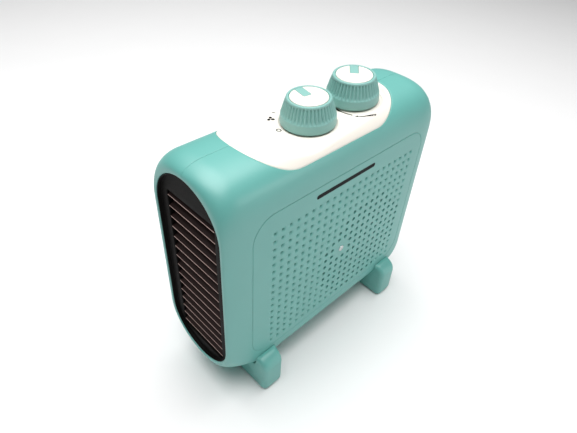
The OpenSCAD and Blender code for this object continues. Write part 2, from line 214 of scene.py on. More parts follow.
def spaced(points, step, closed):
    """The same path with points about step apart."""
    p = np.vstack([points, points[:1]]) if closed else np.asarray(points)
    d = np.r_[0, np.cumsum(np.linalg.norm(np.diff(p, axis=0), axis=1))]
    keep = np.r_[True, np.diff(d) > 1e-9]
    p, d = p[keep], d[keep]
    n = max(3, int(round(d[-1] / step)))
    t = np.linspace(0, d[-1], n + 1)
    out = np.stack([np.interp(t, d, p[:, k]) for k in range(p.shape[1])], -1)
    return out[:-1] if closed else out


def angles(n):
    """n angles spread evenly round a circle."""
    return np.linspace(0, 2 * math.pi, n, endpoint=False)


def outward(loop):
    """Unit normals out of a closed loop that runs anticlockwise."""
    t = np.roll(loop, -1, 0) - np.roll(loop, 1, 0)
    return unit(np.c_[t[:, 1], -t[:, 0]])


def both_sides(half):
    """A closed loop of a right half that starts and ends on x = 0, and of its mirror image."""
    return np.vstack([half, (half * [-1, 1])[-2:0:-1]])


def rounded_rect(x0, x1, y0, y1, r, n=10):
    return np.vstack([arc(x1 - r, y0 + r, r, -90, 0, n), arc(x1 - r, y1 - r, r, 0, 90, n),
                      arc(x0 + r, y1 - r, r, 90, 180, n), arc(x0 + r, y0 + r, r, 180, 270, n)])


def stadium(half_w, z0, z1, n=48):
    return np.vstack([arc(0, z1 - half_w, half_w, 0, 180, n), arc(0, z0 + half_w, half_w, 180, 360, n)])


def inward(loop, d):
    """The closed counter-clockwise loop moved inwards by d along its corner normals."""
    a, b = np.roll(loop, 1, 0), np.roll(loop, -1, 0)
    e0, e1 = unit(loop - a), unit(b - loop)
    n0, n1 = np.c_[-e0[:, 1], e0[:, 0]], np.c_[-e1[:, 1], e1[:, 0]]
    n = n0 + n1
    n /= np.maximum(np.linalg.norm(n, axis=1), 1e-9)[:, None]
    k = np.maximum((n * n0).sum(1), 0.3)
    return loop + n * (d / k)[:, None]


def inside(loop, p):
    """Even-odd test of points p against a closed loop."""
    x, y = p[:, 0], p[:, 1]
    out = np.zeros(len(p), bool)
    a, b = loop, np.roll(loop, -1, 0)
    for (x0, y0), (x1, y1) in zip(a, b):
        if y0 == y1:
            continue
        hit = (y0 > y) != (y1 > y)
        out ^= hit & (x < (x1 - x0) * (y - y0) / (y1 - y0) + x0)
    return out


def distance(loop, p, closed=True):
    """Distance of points p to the line through the loop."""
    a = loop if closed else loop[:-1]
    b = np.roll(loop, -1, 0) if closed else loop[1:]
    best = np.full(len(p), 1e9)
    for s, e in zip(a, b):
        d = e - s
        t = np.clip(((p - s) @ d) / max(d @ d, 1e-12), 0, 1)
        best = np.minimum(best, np.linalg.norm(p - s - t[:, None] * d, axis=1))
    return best


def nearest(points, circles):
    """Distance of each point out from the nearest of some circles (x, y, r)."""
    return np.min([np.hypot(points[:, 0] - x, points[:, 1] - y) - r for x, y, r in circles], axis=0)


def lattice(x_range, y_range, loop, gap, every=1):
    """Grid points inside the loop and more than gap from it; a range is (first, stop, step)."""
    x, y = np.meshgrid(np.arange(*x_range), np.arange(*y_range))
    p = np.c_[x.ravel(), y.ravel()][::every]
    p = p[inside(loop, p)]
    return p[distance(loop, p) > gap]


def triangulate(loops, extra, keep):
    """Triangles over closed loops and extra points, with the loops' edges kept, where keep(centroids) is true."""
    points, edges = [], []
    for loop in loops:
        n0, n = len(points), len(loop)
        points += [tuple(p) for p in loop]
        edges += [(n0 + i, n0 + (i + 1) % n) for i in range(n)]
    points += [tuple(p) for p in extra]
    out = delaunay_2d_cdt([Vector(p) for p in points], edges, [], 0, 1e-7)
    where = {}
    for i, orig in enumerate(out[3]):
        for o in orig:
            where[o] = i
    back = {i: o for o, i in where.items()}
    tris = np.array([[back.get(i, -1) for i in f] for f in out[2] if len(f) == 3], int)
    tris = tris[(tris >= 0).all(1)]
    p = np.array(points)
    ok = keep(p[tris].mean(1))
    return p, tris[ok]


# ---- meshes


def filled(loop):
    """Triangles over one closed loop, with no other points."""
    return triangulate([loop], [], lambda c: inside(loop, c))


class Skin:
    """A mesh being built. Outer vertices may have a partner on the inner skin, which closes every open edge."""

    def __init__(self):
        self.v = []
        self.f = []
        self.partner = {}

    def add(self, points):
        """Adds vertices. Returns their numbers."""
        n = len(self.v)
        self.v += [tuple(map(float, p)) for p in points]
        return list(range(n, len(self.v)))

    def faces(self, tris, index=None):
        """Adds triangles; index, if given, turns their corners into vertex numbers."""
        self.f += [tuple(int(i) if index is None else index[i] for i in t) for t in tris]

    def at(self, index):
        """The points of some vertices."""
        return np.array([self.v[i] for i in index])

    def strip(self, a, b, closed=True):
        """Joins two rows of vertices with quads."""
        n = len(a)
        for i in range(n if closed else n - 1):
            j = (i + 1) % n
            self.f.append((a[i], a[j], b[j], b[i]))

    def rings(self, base, across, down, profile, closed=True):
        """Rings that follow base: each profile entry is (mm across, mm down). Returns the last ring."""
        p = self.at(base)
        last = base
        for a, d in profile:
            ring = self.add(p + a * np.asarray(across) + d * np.asarray(down))
            for i, j in zip(ring, base):
                if j in self.partner:
                    self.partner[i] = self.partner[j]
            self.strip(last, ring, closed)
            last = ring
        return last

    def extend(self, last, loops):
        """Joins closed loops of points to the ring last, one after another. Returns the last ring."""
        for points in loops:
            ring = self.add(points)
            self.strip(last, ring)
            last = ring
        return last

    def rod(self, loops):
        """A body through closed loops of points, with either end fanned to its middle."""
        first = self.add(loops[0])
        self.fan(first, loops[0].mean(0))
        self.fan(self.extend(first, loops[1:]), loops[-1].mean(0))

    def fan(self, ring, centre):
        """Closes a ring with triangles to a point."""
        c = self.add([centre])[0]
        for i in range(len(ring)):
            self.f.append((ring[i], ring[(i + 1) % len(ring)], c))

    def close(self):
        """Joins every open edge to the edge between its ends' partners."""
        count = {}
        for f in self.f:
            for a, b in zip(f, f[1:] + f[:1]):
                count[frozenset((a, b))] = count.get(frozenset((a, b)), 0) + 1
        extra = []
        for f in self.f:
            for a, b in zip(f, f[1:] + f[:1]):
                if count[frozenset((a, b))] == 1 and a in self.partner and b in self.partner:
                    pa, pb = self.partner[a], self.partner[b]
                    extra.append((b, a, pa) if pa == pb else (b, a, pa, pb))
        self.f += extra


def fillet(r, n=4):
    """Steps (mm across, mm down) round an edge of radius r."""
    return [(r * math.sin(t), r * (1 - math.cos(t))) for t in np.linspace(0, math.pi / 2, n + 1)[1:]]


def linked(name, data):
    """A new object in the scene."""
    obj = bpy.data.objects.new(name, data)
    scene.collection.objects.link(obj)
    return obj


def piece(name, skin, material, body="housing", node=None, sharp=50, mirror=False):
    """Makes an object of a Skin, or of a list of Skins that stay separate shells."""
    skins = skin if isinstance(skin, list) else [skin]
    mesh = bpy.data.meshes.new(name)
    verts, faces = [], []
    for k in skins:
        n = len(verts)
        verts += k.v
        faces += [tuple(i + n for i in f) for f in k.f]
    co = np.array(verts) * 0.001
    if mirror:
        co[:, 0] *= -1
    mesh.from_pydata([tuple(p) for p in co], [], faces)
    bm = bmesh.new()
    bm.from_mesh(mesh)
    bmesh.ops.remove_doubles(bm, verts=bm.verts, dist=2e-6)
    bmesh.ops.dissolve_degenerate(bm, edges=bm.edges, dist=1e-6)
    loose = [v for v in bm.verts if not v.link_faces]
    bmesh.ops.delete(bm, geom=loose, context="VERTS")
    bmesh.ops.recalc_face_normals(bm, faces=bm.faces)
    for f in bm.faces:
        f.smooth = True
    limit = math.radians(sharp)
    for e in bm.edges:
        e.smooth = e.calc_face_angle(0) < limit
    bm.to_mesh(mesh)
    bm.free()
    mesh.materials.append(material)
    obj = linked(name, mesh)
    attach(obj, body)
    if node:
        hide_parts(*([node] if isinstance(node, str) else node))


def lathe(profile, n, bulge):
    """A solid turned round Z through the profile's (r, z), from the bottom up; bulge(a, r, z) adds to r."""
    skin = Skin()
    a = angles(n)
    last = None
    for r, z in profile:
        if r < 1e-6:
            ring = skin.add([(0, 0, z)]) * n
        else:
            rr = r + bulge(a, r, z)
            ring = skin.add(np.c_[rr * np.cos(a), rr * np.sin(a), np.full(n, z)])
        if last is not None:
            for i in range(n):
                j = (i + 1) % n
                f = [last[i], last[j], ring[j], ring[i]]
                f = [v for m, v in enumerate(f) if v not in f[:m]]
                if len(f) > 2:
                    skin.f.append(tuple(f))
        last = ring
    return skin


def tilted(skin, matrix):
    """Moves a skin by a matrix."""
    skin.v = [tuple(matrix @ Vector(p)) for p in skin.v]
    return skin


# ---- materials


def rgb(*levels):
    """Linear colour of a colour given in screen levels from 0 to 255."""
    shares = [c / 255 for c in levels]
    return tuple(c / 12.92 if c <= 0.04045 else ((c + 0.055) / 1.055) ** 2.4 for c in shares) + (1,)


def feed(tree, node, **values):
    """Sets a node's inputs, or links them if the value is an output; an underscore in a name stands for a space."""
    for key, value in values.items():
        into = node.inputs[key.replace("_", " ")]
        if isinstance(value, bpy.types.NodeSocket):
            tree.links.new(value, into)
        else:
            into.default_value = value


def shader_node(tree, kind, **values):
    """A new shader node with its inputs set or linked."""
    node = tree.nodes.new("ShaderNode" + kind)
    if kind == "Mix":
        node.data_type = "RGBA"
    if kind == "VectorMath":
        node.operation = "SCALE"
    feed(tree, node, **values)
    return node


def material(name, colour, rough=0.5, metal=0.0, vary=0.1, grain=900, bump=0.1, coat=0.0, wear=0.0, streak=None,
             specular=0.5, mottle=14):
    """A moulded, cast or drawn surface: colour drift, fine grain in the bump and roughness, and edges paled by wear.
    """
    mat = bpy.data.materials.new(name)
    mat.use_nodes = True
    tree = mat.node_tree
    source = shader_node(tree, "TexCoord").outputs["Object"]
    if streak:
        source = shader_node(tree, "Mapping", Vector=source, Scale=streak).outputs["Vector"]
    drift = shader_node(tree, "TexNoise", Vector=source, Scale=mottle, Detail=5).outputs["Fac"]
    fine = shader_node(tree, "TexNoise", Vector=source, Scale=grain, Detail=3).outputs["Fac"]
    ramp = shader_node(tree, "MapRange", Value=drift, From_Min=0.3, From_Max=0.7, To_Min=1 - vary, To_Max=1 + vary)
    out = shader_node(tree, "VectorMath", Vector=colour[:3], Scale=ramp.outputs["Result"]).outputs["Vector"]
    if wear:
        point = shader_node(tree, "NewGeometry").outputs["Pointiness"]
        edge = shader_node(tree, "MapRange", Value=point, From_Min=0.52, From_Max=0.62, To_Max=wear)
        paler = tuple(min(1, c * 1.5 + 0.05) for c in colour[:3]) + (1,)
        out = shader_node(tree, "Mix", Factor=edge.outputs["Result"], A=out, B=paler).outputs["Result"]
    polish = shader_node(tree, "MapRange", Value=fine, To_Min=rough * 0.85, To_Max=min(1, rough * 1.15))
    relief = shader_node(tree, "Bump", Height=fine, Strength=bump, Distance=0.0004)
    feed(tree, tree.nodes["Principled BSDF"], Base_Color=out, Roughness=polish.outputs["Result"],
         Normal=relief.outputs["Normal"], Metallic=metal, Specular_IOR_Level=specular, Coat_Weight=coat,
         Coat_Roughness=0.2)
    return mat


teal = material("teal_plastic", rgb(99, 172, 164), rough=0.42, vary=0.025, grain=1100, bump=0.06,
                wear=0.12, specular=0.85)
teal_knob = material("teal_knob_plastic", rgb(134, 184, 177), rough=0.42, vary=0.03, grain=1200,
                     bump=0.08, wear=0.18)
cream = material("cream_plastic", rgb(240, 234, 224), rough=0.38, vary=0.015, grain=1000, bump=0.05, coat=0.1)
dark = material("dark_plastic", rgb(12, 10, 9), rough=0.6, vary=0.12, bump=0.15, specular=0.08)
louvre = material("louvre_plastic", rgb(40, 23, 21), vary=0.12, specular=0.2)
# Painted highlight: a pale band along the slats' front edges stands in for the light they catch
tree = louvre.node_tree
shade = tree.nodes["Principled BSDF"].inputs["Base Color"]
place = next(n for n in tree.nodes if n.type == "TEX_COORD").outputs["Object"]
place = shader_node(tree, "SeparateXYZ", Vector=place).outputs["Y"]
glint_band = shader_node(tree, "MapRange", Value=place, From_Min=-0.12655, From_Max=-0.12668).outputs["Result"]
pale = shader_node(tree, "Mix", Factor=glint_band, A=shade.links[0].from_socket, B=rgb(190, 165, 156))
tree.links.new(pale.outputs["Result"], shade)
ink = material("printed_ink", rgb(13, 13, 15), rough=0.55, grain=1500, bump=0.05, specular=0.1)
steel = material("bright_steel", rgb(205, 207, 208), rough=0.28, metal=1, vary=0.08, grain=1500,
                 bump=0.05, wear=0.2)
zinc = material("zinc_steel", rgb(170, 172, 170), rough=0.4, metal=1, vary=0.12, grain=500)
duct = material("duct_plastic", rgb(46, 52, 52), rough=0.55, grain=700, bump=0.15)
wheel = material("wheel_plastic", rgb(60, 62, 62), grain=800)
mica = material("mica_sheet", rgb(176, 160, 122), vary=0.2, grain=260, bump=0.2, coat=0.3, mottle=60)
wire = material("heating_wire", rgb(120, 96, 84), rough=0.45, metal=1, vary=0.25, grain=800, mottle=80)
iron = material("laminated_iron", rgb(88, 90, 94), metal=1, vary=0.15, streak=(60, 1, 1), grain=60, bump=0.3)
copper = material("copper_winding", rgb(176, 96, 52), rough=0.35, metal=1, vary=0.2, streak=(1, 1,
                  30), grain=70, bump=0.4)
brass = material("bearing_bronze", rgb(170, 134, 76), rough=0.35, metal=1, vary=0.15)
ceramic = material("ceramic_block", rgb(226, 220, 204), vary=0.06, grain=600, bump=0.15)
switch_body = material("switch_plastic", rgb(50, 50, 54), rough=0.45, grain=800)
rubber = material("gland_rubber", rgb(30, 30, 32), rough=0.75, vary=0.15, grain=700, bump=0.3)
stage_floor = material("studio_floor", (0.9, 0.9, 0.9, 1), rough=0.6, vary=0.004, grain=200, bump=0.0, specular=0.2)

for names, mat in (
    ("shell_screws foot_screws motor_screws motor_shaft switch_spindle thermostat_spindle", zinc),
    ("motor_brackets heater_frame thermal_cutout", zinc), ("grille_screws", steel), ("motor_rotor motor_stator", iron),
    ("motor_winding", copper), ("motor_bearings", brass), ("scroll_housing scroll_cover", duct), ("fan_wheel", wheel),
    ("mica_cards", mica), ("heating_coils", wire), ("terminal_block thermostat", ceramic),
    ("rotary_switch", switch_body), ("cable_gland", rubber), ("outlet_frame", dark), ("outlet_louvres", louvre),
    ("shell_right shell_left side_grille_right side_grille_left foot_front foot_rear", teal),
    ("switch_knob thermostat_knob", teal_knob), ("control_panel switch_knob_cap thermostat_knob_cap", cream),
):
    for name in names.split():
        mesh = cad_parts[name].data
        mesh.materials.clear()
        mesh.materials.append(mat)


# ---- shells

PANEL_HW, PANEL_FRONT, PANEL_REAR = 38.4, -87.7, 83.3
PANEL_FRONT_L, PANEL_REAR_L = 42.0, 43.3


def panel_half(grow, step=1.5):
    """Right half of the control panel's outline in plan, from its front point to its rear point."""
    a = np.linspace(0, math.pi / 2, 90)
    front = np.c_[PANEL_HW * np.sin(a) ** (2 / 2.55), PANEL_FRONT + PANEL_FRONT_L * (1 - np.cos(a) ** (2 / 2.55))]
    rear = np.c_[PANEL_HW * np.cos(a), PANEL_REAR - PANEL_REAR_L * (1 - np.sin(a))]
    path = spaced(np.vstack([front, rear]), 0.7, False)
    n = normals_of(path)
    n[0], n[-1] = (0, -1), (0, 1)
    path = path + grow * n
    path[0, 0] = path[-1, 0] = 0
    return spaced(path, step, False)


def normals_of(path):
    """Unit normals on the right-hand side of an open path in a plane."""
    d = np.gradient(path, axis=0)
    return unit(np.c_[d[:, 1], -d[:, 0]])


grille_low, grille_high = box_mm("side_grille_right")
GRILLE_Y = (grille_low[1], grille_high[1])
GRILLE_Z = (grille_low[2], grille_high[2])
GRILLE_R = 22.0
GRILLE_T = 2.0
frame_low, frame_high = box_mm("outlet_frame")
INSERT_Z = (frame_low[2] - 0.2, frame_high[2] + 0.2)
INSERT_HW = frame_high[0] + 0.2
INSERT_Y = frame_low[1]
gland_low, gland_high = box_mm("cable_gland")
GLAND_Z = (gland_low[2] + gland_high[2]) / 2
POCKET_R = 4.2
POCKETS = [(-104, 233), (-108, 44), (106, 222), (117, 48), (-55, 224), (-25, 39.5)]


def shell(left):
    """One half of the body: an outer and an inner skin with the openings, pockets and rims cut into them."""
    skin = Skin()
    edge = 0.9
    rim = edge - 0.1
    recess = rounded_rect(GRILLE_Y[0] - rim, GRILLE_Y[1] + rim, GRILLE_Z[0] - rim, GRILLE_Z[1] + rim,
                          GRILLE_R + rim, 16)
    recess = spaced(recess, 2.2, True)
    recess_us = np.stack(side_coords(*recess.T), -1)
    lip = 0.9
    opening = panel_half(0.2 + lip)
    opening_us = np.stack(top_coords(*opening.T), -1)
    opening_us[0, 1] = opening_us[-1, 1] = S4
    pockets = [circle(y, z, POCKET_R, 24) for y, z in POCKETS] if left else []
    pockets_us = [np.stack(side_coords(*c.T), -1) for c in pockets]
    side_holes = [recess_us] + pockets_us

    seam = np.array([0, 0.06, 0.15, 0.27, 0.4, 1.0])
    s_grid = np.unique(np.round(np.r_[seam, np.linspace(1.6, S1, 10), np.linspace(S1, S2, 14),
                                      np.linspace(S2, S3, 48), np.linspace(S3, S4 - 1.6, 42), S4 - seam], 5))
    u_grid = np.unique(np.round(np.r_[np.linspace(U0, U_FRONT, 20), np.linspace(U_FRONT, U_REAR, 84),
                                      np.linspace(U_REAR, U1, 24)], 5))
    # Rounding may not move the ends: a point near an edge would make walls of its own
    u_grid[[0, -1]] = U0, U1
    s_grid[[0, -1]] = 0, S4
    uu, ss = np.meshgrid(u_grid, s_grid, indexing="ij")
    grid = np.c_[uu.ravel(), ss.ravel()]
    edge_loop = np.array([(u, 0) for u in u_grid[:-1]] + [(U1, v) for v in s_grid[:-1]]
                         + [(u, S4) for u in u_grid[:0:-1]] + [(U0, v) for v in s_grid[:0:-1]])
    hole = np.vstack([opening_us, [[opening_us[-1, 0], S4 + 5], [opening_us[0, 0], S4 + 5]]])
    extra = grid[((grid > np.array([U0, 0]) + 1e-6) & (grid < np.array([U1, S4]) - 1e-6)).all(axis=1)]
    extra = extra[(distance(opening_us, extra, closed=False) >= 0.55) & ~inside(hole, extra)]
    for loop in side_holes:
        extra = extra[(distance(loop, extra) >= 0.8) & ~inside(loop, extra)]
    cut = (edge_loop[:, 1] > S4 - 1e-6) & (edge_loop[:, 0] > opening_us[0, 0] - 0.3) \
        & (edge_loop[:, 0] < opening_us[-1, 0] + 0.3)
    start = int(np.argmax(cut))
    stop = len(cut) - int(np.argmax(cut[::-1]))
    boundary = np.vstack([edge_loop[:start], opening_us[::-1], edge_loop[stop:]])

    def keep(c):
        return inside(boundary, c) & ~np.any([inside(loop, c) for loop in side_holes], axis=0)

    p, tris = triangulate([boundary] + side_holes, extra, keep)
    pos = body_point(*p.T)
    away = np.minimum(p[:, 1], S4 - p[:, 1])
    dip = SEAM_R - np.sqrt(np.clip(SEAM_R**2 - np.clip(SEAM_R - away, 0, None) ** 2, 0, None))
    pos = pos - dip[:, None] * body_normal(*p.T)
    pos[:, 0] = np.where(away < 1e-6, 0, pos[:, 0])
    n_out = len(skin.add(pos))
    skin.add(body_point(*p.T, inner=True))
    skin.faces(tris)
    back = [tuple(int(i) + n_out for i in t[::-1]) for t in tris]
    for i in range(n_out):
        skin.partner[i] = i + n_out

    # Outer loops by index
    nb = len(boundary)
    open_idx = list(range(start, start + len(opening_us)))[::-1]
    recess_idx = list(range(nb, nb + len(recess_us)))
    at = nb + len(recess_us)
    # Panel opening: a rounded lip, then a wall straight down to the inner skin
    nrm = body_normal(p[open_idx, 0], p[open_idx, 1])
    g = -normals_of(opening)
    g[0], g[-1] = (0, 1), (0, -1)
    across = np.c_[g, -(g * nrm[:, :2]).sum(1) / nrm[:, 2]]
    down = np.array([0, 0, -1.0])
    depth = pos[open_idx, 2] - np.array(skin.v)[[i + n_out for i in open_idx], 2]
    last = skin.rings(open_idx, across, down, fillet(lip, 5), closed=False)
    skin.rings(last, across, down * (depth - lip)[:, None], [(0, 1.0)], closed=False)
    # Grille recess: a fine rounded edge, a ledge and the way in
    across = np.c_[np.zeros(len(recess)), -outward(recess)]
    ledge = GRILLE_T + 0.1
    profile = fillet(edge, 4) + [(edge, ledge), (edge + 3.5, ledge), (edge + 3.5, WALL)]
    skin.rings(recess_idx, across, (-1.0, 0, 0), profile)
    # Screw pockets of the left half
    for c in pockets_us:
        idx = list(range(at, at + len(c)))
        at += len(c)
        q = skin.at(idx)
        towards = q.mean(0) - q
        towards[:, 0] = 0
        skin.rings(idx, unit(towards), (-1.0, 0, 0), fillet(0.6, 3) + [(0.6, 7)])

    # Front rim: the flat ring round the outlet, its rounded inner edge and the wall behind it
    front_idx = [i for i in range(nb) if abs(p[i, 0] - U0) < 1e-6]
    front_idx.sort(key=lambda i: p[i, 1])
    q = skin.at(front_idx)
    z0, z1 = INSERT_Z[0] + INSERT_HW, INSERT_Z[1] - INSERT_HW
    base = np.c_[np.zeros(len(q)), np.full(len(q), -HALF_L), np.clip(q[:, 2], z0, z1)]
    d = q - base
    d[:, 1] = 0
    d[0] = (0, 0, -1)
    d[-1] = (0, 0, 1)
    d = unit(d)
    bead = 0.9
    target = base + d * (INSERT_HW + bead)
    last = skin.rings(front_idx, target - q, (0, 0, 0), [(0.35, 0), (0.7, 0), (1.0, 0)], closed=False)
    skin.rings(last, -d, (0, 1.0, 0), fillet(bead, 4) + [(bead, 3.0)], closed=False)

    # Back: the flat end, cut round the cable gland
    rear_idx = [i for i in range(nb) if abs(p[i, 0] - U1) < 1e-6]
    rear_idx.sort(key=lambda i: p[i, 1])
    q = skin.at(rear_idx)[:, [0, 2]]
    half = arc(0, GLAND_Z, 9.6, -90, 90, 24)
    half[0, 0] = half[-1, 0] = 0
    lower = [(0, z) for z in np.linspace(half[0, 1], q[0, 1], 5)[1:-1]]
    upper = [(0, z) for z in np.linspace(q[-1, 1], half[-1, 1], 20)[1:-1]]
    loop = np.vstack([q, upper, half[::-1], lower])
    pp, tt = triangulate([loop], lattice((4, 38, 5.0), (48, 236, 5.0), loop, 2), lambda c: inside(loop, c))
    new = skin.add([(a, HALF_L, b) for a, b in pp[len(q):]])
    new_in = skin.add([(a, HALF_L - WALL, b) for a, b in pp[len(q):]])
    for i, j in zip(new, new_in):
        skin.partner[i] = j
    index = rear_idx + new
    skin.faces(tt, index)
    back += [tuple(skin.partner[index[i]] for i in t[::-1]) for t in tt]
    hole_idx = [index[len(q) + len(upper) + i] for i in range(len(half))]
    hq = skin.at(hole_idx)
    to = unit(np.array([0, 0, GLAND_Z]) - hq * [1, 0, 1])
    skin.rings(hole_idx, to, (0, -1.0, 0), fillet(0.4, 3) + [(0.4, 2.6), (2.8, 2.6)], closed=False)

    skin.close()
    skin.f += back
    name = "body_left" if left else "body_right"
    piece(name, skin, teal, node="shell_left" if left else "shell_right", mirror=left)


shell(False)
shell(True)


# ---- side grilles

PITCH, HOLE_R, COLS, ROWS = 8.5, 1.95, 22, 17
FIRST = (-81.4, 55.5)
INTAKE, INTAKE_R = (41.6, 102.25), 59.5
POST, POST_R = (7.85, 119.25), 7.0


def grille(name, node, left):
    """An inlaid side panel: open holes over the fan's inlet, blind dimples elsewhere, and none at the centre post."""
    skin = Skin()
    edge = 0.8
    loop = spaced(rounded_rect(GRILLE_Y[0], GRILLE_Y[1], GRILLE_Z[0], GRILLE_Z[1], GRILLE_R, 16), 2.4, True)
    out2 = outward(loop)
    inner_loop = loop - out2 * edge
    support = loop - out2 * (edge + 0.3)
    n_seg = 20
    lip, apron = 1.05, 0.25
    centres = [(FIRST[0] + PITCH * i, FIRST[1] + PITCH * j) for i in range(COLS) for j in range(ROWS)]
    centres = np.array([c for c in centres if math.dist(c, POST) > POST_R])
    open_hole = np.linalg.norm(centres - np.array(INTAKE), axis=1) < INTAKE_R
    rings0 = [circle(c[0], c[1], HOLE_R + lip + apron, n_seg) for c in centres]

    def keep(c):
        k = np.round((c - np.array(FIRST)) / PITCH)
        k = np.clip(k, 0, [COLS - 1, ROWS - 1])
        near = np.array(FIRST) + k * PITCH
        d = np.linalg.norm(c - near, axis=1)
        solid = np.linalg.norm(near - np.array(POST), axis=1) <= POST_R
        rr = (HOLE_R + lip + apron) * math.cos(math.pi / n_seg)
        return (solid | (d > rr)) & inside(support, c)

    # Extra points only outside the field of holes
    pts = lattice((-100, 113, 6.0), (50, 212, 6.0), support, 2.5)
    count = np.array([COLS, ROWS])
    pts = pts[(np.abs(pts - (np.array(FIRST) + PITCH * (count - 1) / 2)) >= PITCH * count / 2 + 1).any(axis=1)]
    p, tris = triangulate([support] + rings0, pts, keep)
    face = skin.add(np.c_[side_x(*p.T), p])
    skin.faces(tris)

    def place(yz, depth):
        return np.c_[side_x(*yz.T) - depth, yz]

    k = len(support)
    rim = [(inner_loop, 0.0)] + [(inner_loop + out2 * a, d) for a, d in fillet(edge, 4)] + [(loop, GRILLE_T)]
    rim_back = skin.extend(face[:k], [place(yz, depth) for yz, depth in rim])
    a = angles(n_seg)
    unit = np.c_[np.cos(a), np.sin(a)]
    back_loops = []
    for c, through in zip(centres, open_hole):
        if through:
            steps = [(HOLE_R + lip, 0), (HOLE_R + 0.35, 0.02), (HOLE_R + 0.12, 0.12), (HOLE_R, 0.38),
                     (HOLE_R, GRILLE_T)]
        else:
            steps = [(HOLE_R + lip, 0), (HOLE_R + 0.8, 0.07), (HOLE_R - 0.45, 0.5), (HOLE_R - 0.65, 0.7),
                     (HOLE_R - 0.8, 1.4), (HOLE_R - 1.05, 1.65)]
        last = skin.extend(face[k:k + n_seg], [place(np.array(c) + r * unit, depth) for r, depth in steps])
        k += n_seg
        if through:
            back_loops.append(last)
        else:
            skin.fan(last, place(np.array([c]), 1.7)[0])
    # The flat back, with the open holes in it
    v = np.array(skin.v)
    back_2d = [v[rim_back][:, 1:]] + [v[b][:, 1:] for b in back_loops]
    bores = [(y, z, HOLE_R * math.cos(math.pi / n_seg)) for y, z in centres[open_hole]]
    _, tb = triangulate(back_2d, [], lambda c: (nearest(c, bores) > 0) & inside(back_2d[0], c))
    skin.faces(tb, [i for b in [rim_back] + back_loops for i in b])
    piece(name, skin, teal, node=node, mirror=left, sharp=60)


grille("grille_right", "side_grille_right", False)
grille("grille_left", "side_grille_left", True)


# ---- outlet

WINDOW_HW, WINDOW_Z = 29.0, (52.0, 215.0)
LOUVRES, LOUVRE_Z0, LOUVRE_PITCH, LOUVRE_TILT, LOUVRE_IN = 15, 56.7, 10.86, 22.0, 4.0
DISH, FLANGE, TUBE_END, TUBE_T = 3.4, 6.0, 16.0, 2.0


def outlet_frame():
    """A raised rim round a shallow dish, with a rectangular window and the short tube behind it."""
    skin = Skin()
    rim_w, lip = 1.5, 0.8
    inset = 0.2 + rim_w
    outer = spaced(stadium(INSERT_HW - inset, INSERT_Z[0] + inset, INSERT_Z[1] - inset), 2.0, True)
    window = rounded_rect(-WINDOW_HW - lip, WINDOW_HW + lip, WINDOW_Z[0] - lip, WINDOW_Z[1] + lip, 1.5 + lip)
    window = spaced(window, 2.0, True)
    pts = lattice((-36, 37, 4.0), (36, 240, 4.0), outer, 1.5)
    pts = pts[~inside(window, pts) & (distance(window, pts) > 1.5)]
    p, tris = triangulate([outer, window], pts, lambda c: inside(outer, c) & ~inside(window, c))
    face = skin.add(np.c_[p[:, 0], np.full(len(p), INSERT_Y + DISH), p[:, 1]])
    skin.faces(tris)

    def directions(loop, sign):
        out = sign * outward(loop)
        return np.c_[out[:, 0], np.zeros(len(loop)), out[:, 1]]

    n, m = len(outer), len(window)
    deep = (0, 1.0, 0)
    back, end = FLANGE - DISH, TUBE_END - DISH
    cove = [(across, -down) for across, down in fillet(0.5)]
    crest = [(0.55, 0.4), (0.65, 0.12), (0.85, 0), (rim_w - 0.25, 0), (rim_w - 0.07, 0.1), (rim_w, 0.35)]
    steps = cove + [(a, d - DISH) for a, d in crest] + [(rim_w, back)]
    rim = skin.rings(face[:n], directions(outer, 1), deep, steps)
    tube = skin.rings(face[n:n + m], directions(window, -1), deep,
                      fillet(lip) + [(lip, end), (lip - TUBE_T, end), (lip - TUBE_T, back)])
    v = np.array(skin.v)
    a, b = v[rim][:, [0, 2]], v[tube][:, [0, 2]]
    _, tb = triangulate([a, b], [], lambda c: inside(a, c) & ~inside(b, c))
    skin.faces(tb, rim + tube)
    piece("outlet_bezel", skin, dark, node="outlet_frame")


def outlet_louvres():
    """Tilted slats across the window."""
    skins = []
    tilt = math.radians(LOUVRE_TILT)
    depth, t = 9.0, 1.6
    r = t / 2
    # Cross-section in the slat's own plane: a rounded front edge, a slightly crowned top and a thinner back
    profile = np.vstack([arc(r, r, r, 250, 90, 10), [[3.0, t + 0.12], [6.0, t + 0.05], [depth - 0.4, t - 0.25]],
                         arc(depth - 0.4, t / 2 - 0.05, 0.45, 60, -60, 4), [[6.0, 0.0], [3.0, -0.02]]])
    ends = WINDOW_HW - np.array([0.05, 0.35])
    xs = np.r_[-ends, np.linspace(-WINDOW_HW + 1, WINDOW_HW - 1, 24), ends[::-1]]
    mid = profile.mean(0)
    for i in range(LOUVRES):
        loops = []
        for k, x in enumerate(xs):
            shrink = 0.85 if k in (0, len(xs) - 1) else 1.0
            q = mid + (profile - mid) * shrink
            y = INSERT_Y + LOUVRE_IN + q[:, 0] * math.cos(tilt) - q[:, 1] * math.sin(tilt)
            z = LOUVRE_Z0 + LOUVRE_PITCH * i + q[:, 0] * math.sin(tilt) + q[:, 1] * math.cos(tilt)
            loops.append(np.c_[np.full(len(q), x), y, z])
        skins.append(Skin())
        skins[-1].rod(loops)
    piece("louvre_slats", skins, louvre, node="outlet_louvres", sharp=60)


outlet_frame()
outlet_louvres()


# ---- control panel

SWITCH_Y, THERMOSTAT_Y = -6.2, 49.3
DECK, DECK_TILT = 242.6, math.radians(3.4)
RAMP_Y = -36.0
KNOB_LIFT = 0.5
WELL_DEPTH = 1.0
INSET = 0.25
PANEL_T = 3.0
SPINDLE_HOLE_R = 4.0


def deck_at(y):
    return DECK + math.tan(DECK_TILT) * (y - SWITCH_Y)


